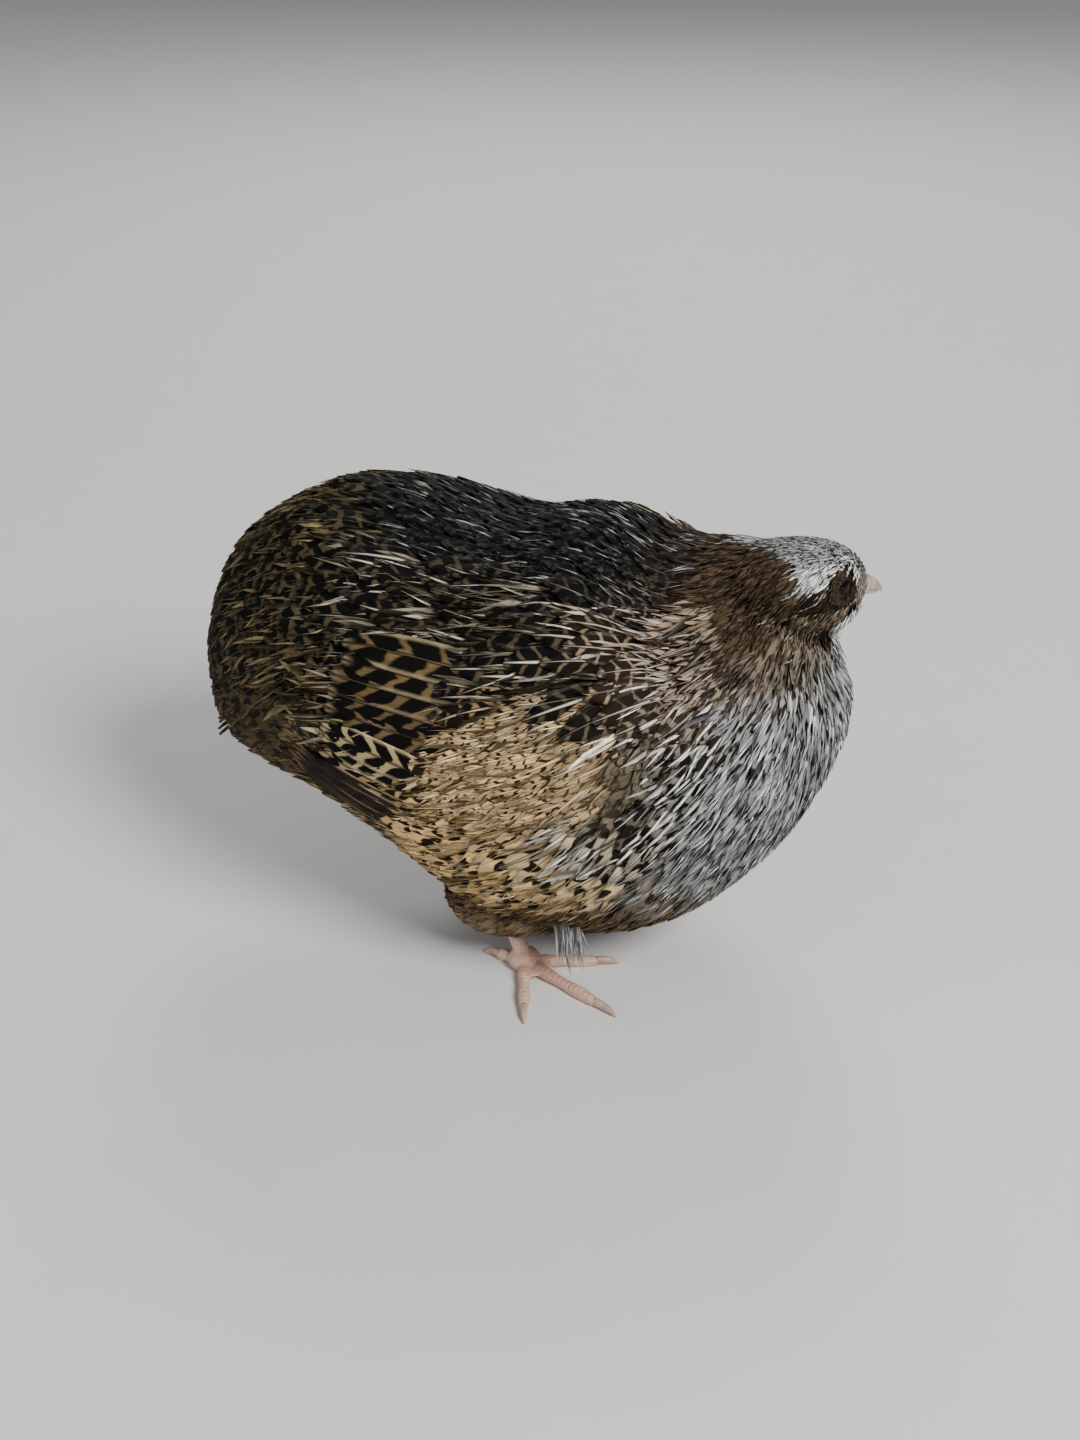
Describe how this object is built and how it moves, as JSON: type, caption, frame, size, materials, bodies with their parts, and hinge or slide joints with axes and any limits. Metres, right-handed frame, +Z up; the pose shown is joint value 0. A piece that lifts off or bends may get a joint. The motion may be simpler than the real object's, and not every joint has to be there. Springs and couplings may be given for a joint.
{
  "type": "coturnix quail figure",
  "caption": "Life-size still figure of a fluffed, standing coturnix quail hen with her head turned to the left.",
  "frame": {"origin": "on the floor, under the middle of the bounding box", "axes": "+X towards the breast, +Y to the bird's left, +Z up"},
  "size_m": [0.1428, 0.1002, 0.0998],
  "materials": {
    "back_plumage": "matte dark feathers with cream streaks and bars",
    "wing_plumage": "matte barred feathers",
    "breast_plumage": "matte pale grey feathers with dark spots",
    "head_plumage": "matte short feathers, streaked",
    "bill_horn": "satin horn",
    "eye_gloss": "wet gloss",
    "leg_skin": "pale pink scaled skin",
    "claw_horn": "satin horn"
  },
  "bodies": {
    "root": {"wing_right": "wing_plumage", "thigh_right": "breast_plumage", "tarsus_right": "leg_skin", "toe_inner_right": "leg_skin", "claw_inner_right": "claw_horn", "toe_middle_right": "leg_skin", "claw_middle_right": "claw_horn", "toe_outer_right": "leg_skin", "claw_outer_right": "claw_horn", "toe_hind_right": "leg_skin", "claw_hind_right": "claw_horn", "eye_right": "eye_gloss", "wing_left": "wing_plumage", "thigh_left": "breast_plumage", "tarsus_left": "leg_skin", "toe_inner_left": "leg_skin", "claw_inner_left": "claw_horn", "toe_middle_left": "leg_skin", "claw_middle_left": "claw_horn", "toe_outer_left": "leg_skin", "claw_outer_left": "claw_horn", "toe_hind_left": "leg_skin", "claw_hind_left": "claw_horn", "eye_left": "eye_gloss", "torso": "back_plumage", "neck": "head_plumage", "head": "head_plumage", "tail": "back_plumage", "bill_upper": "bill_horn", "bill_lower": "bill_horn"}
  },
  "joints": []
}
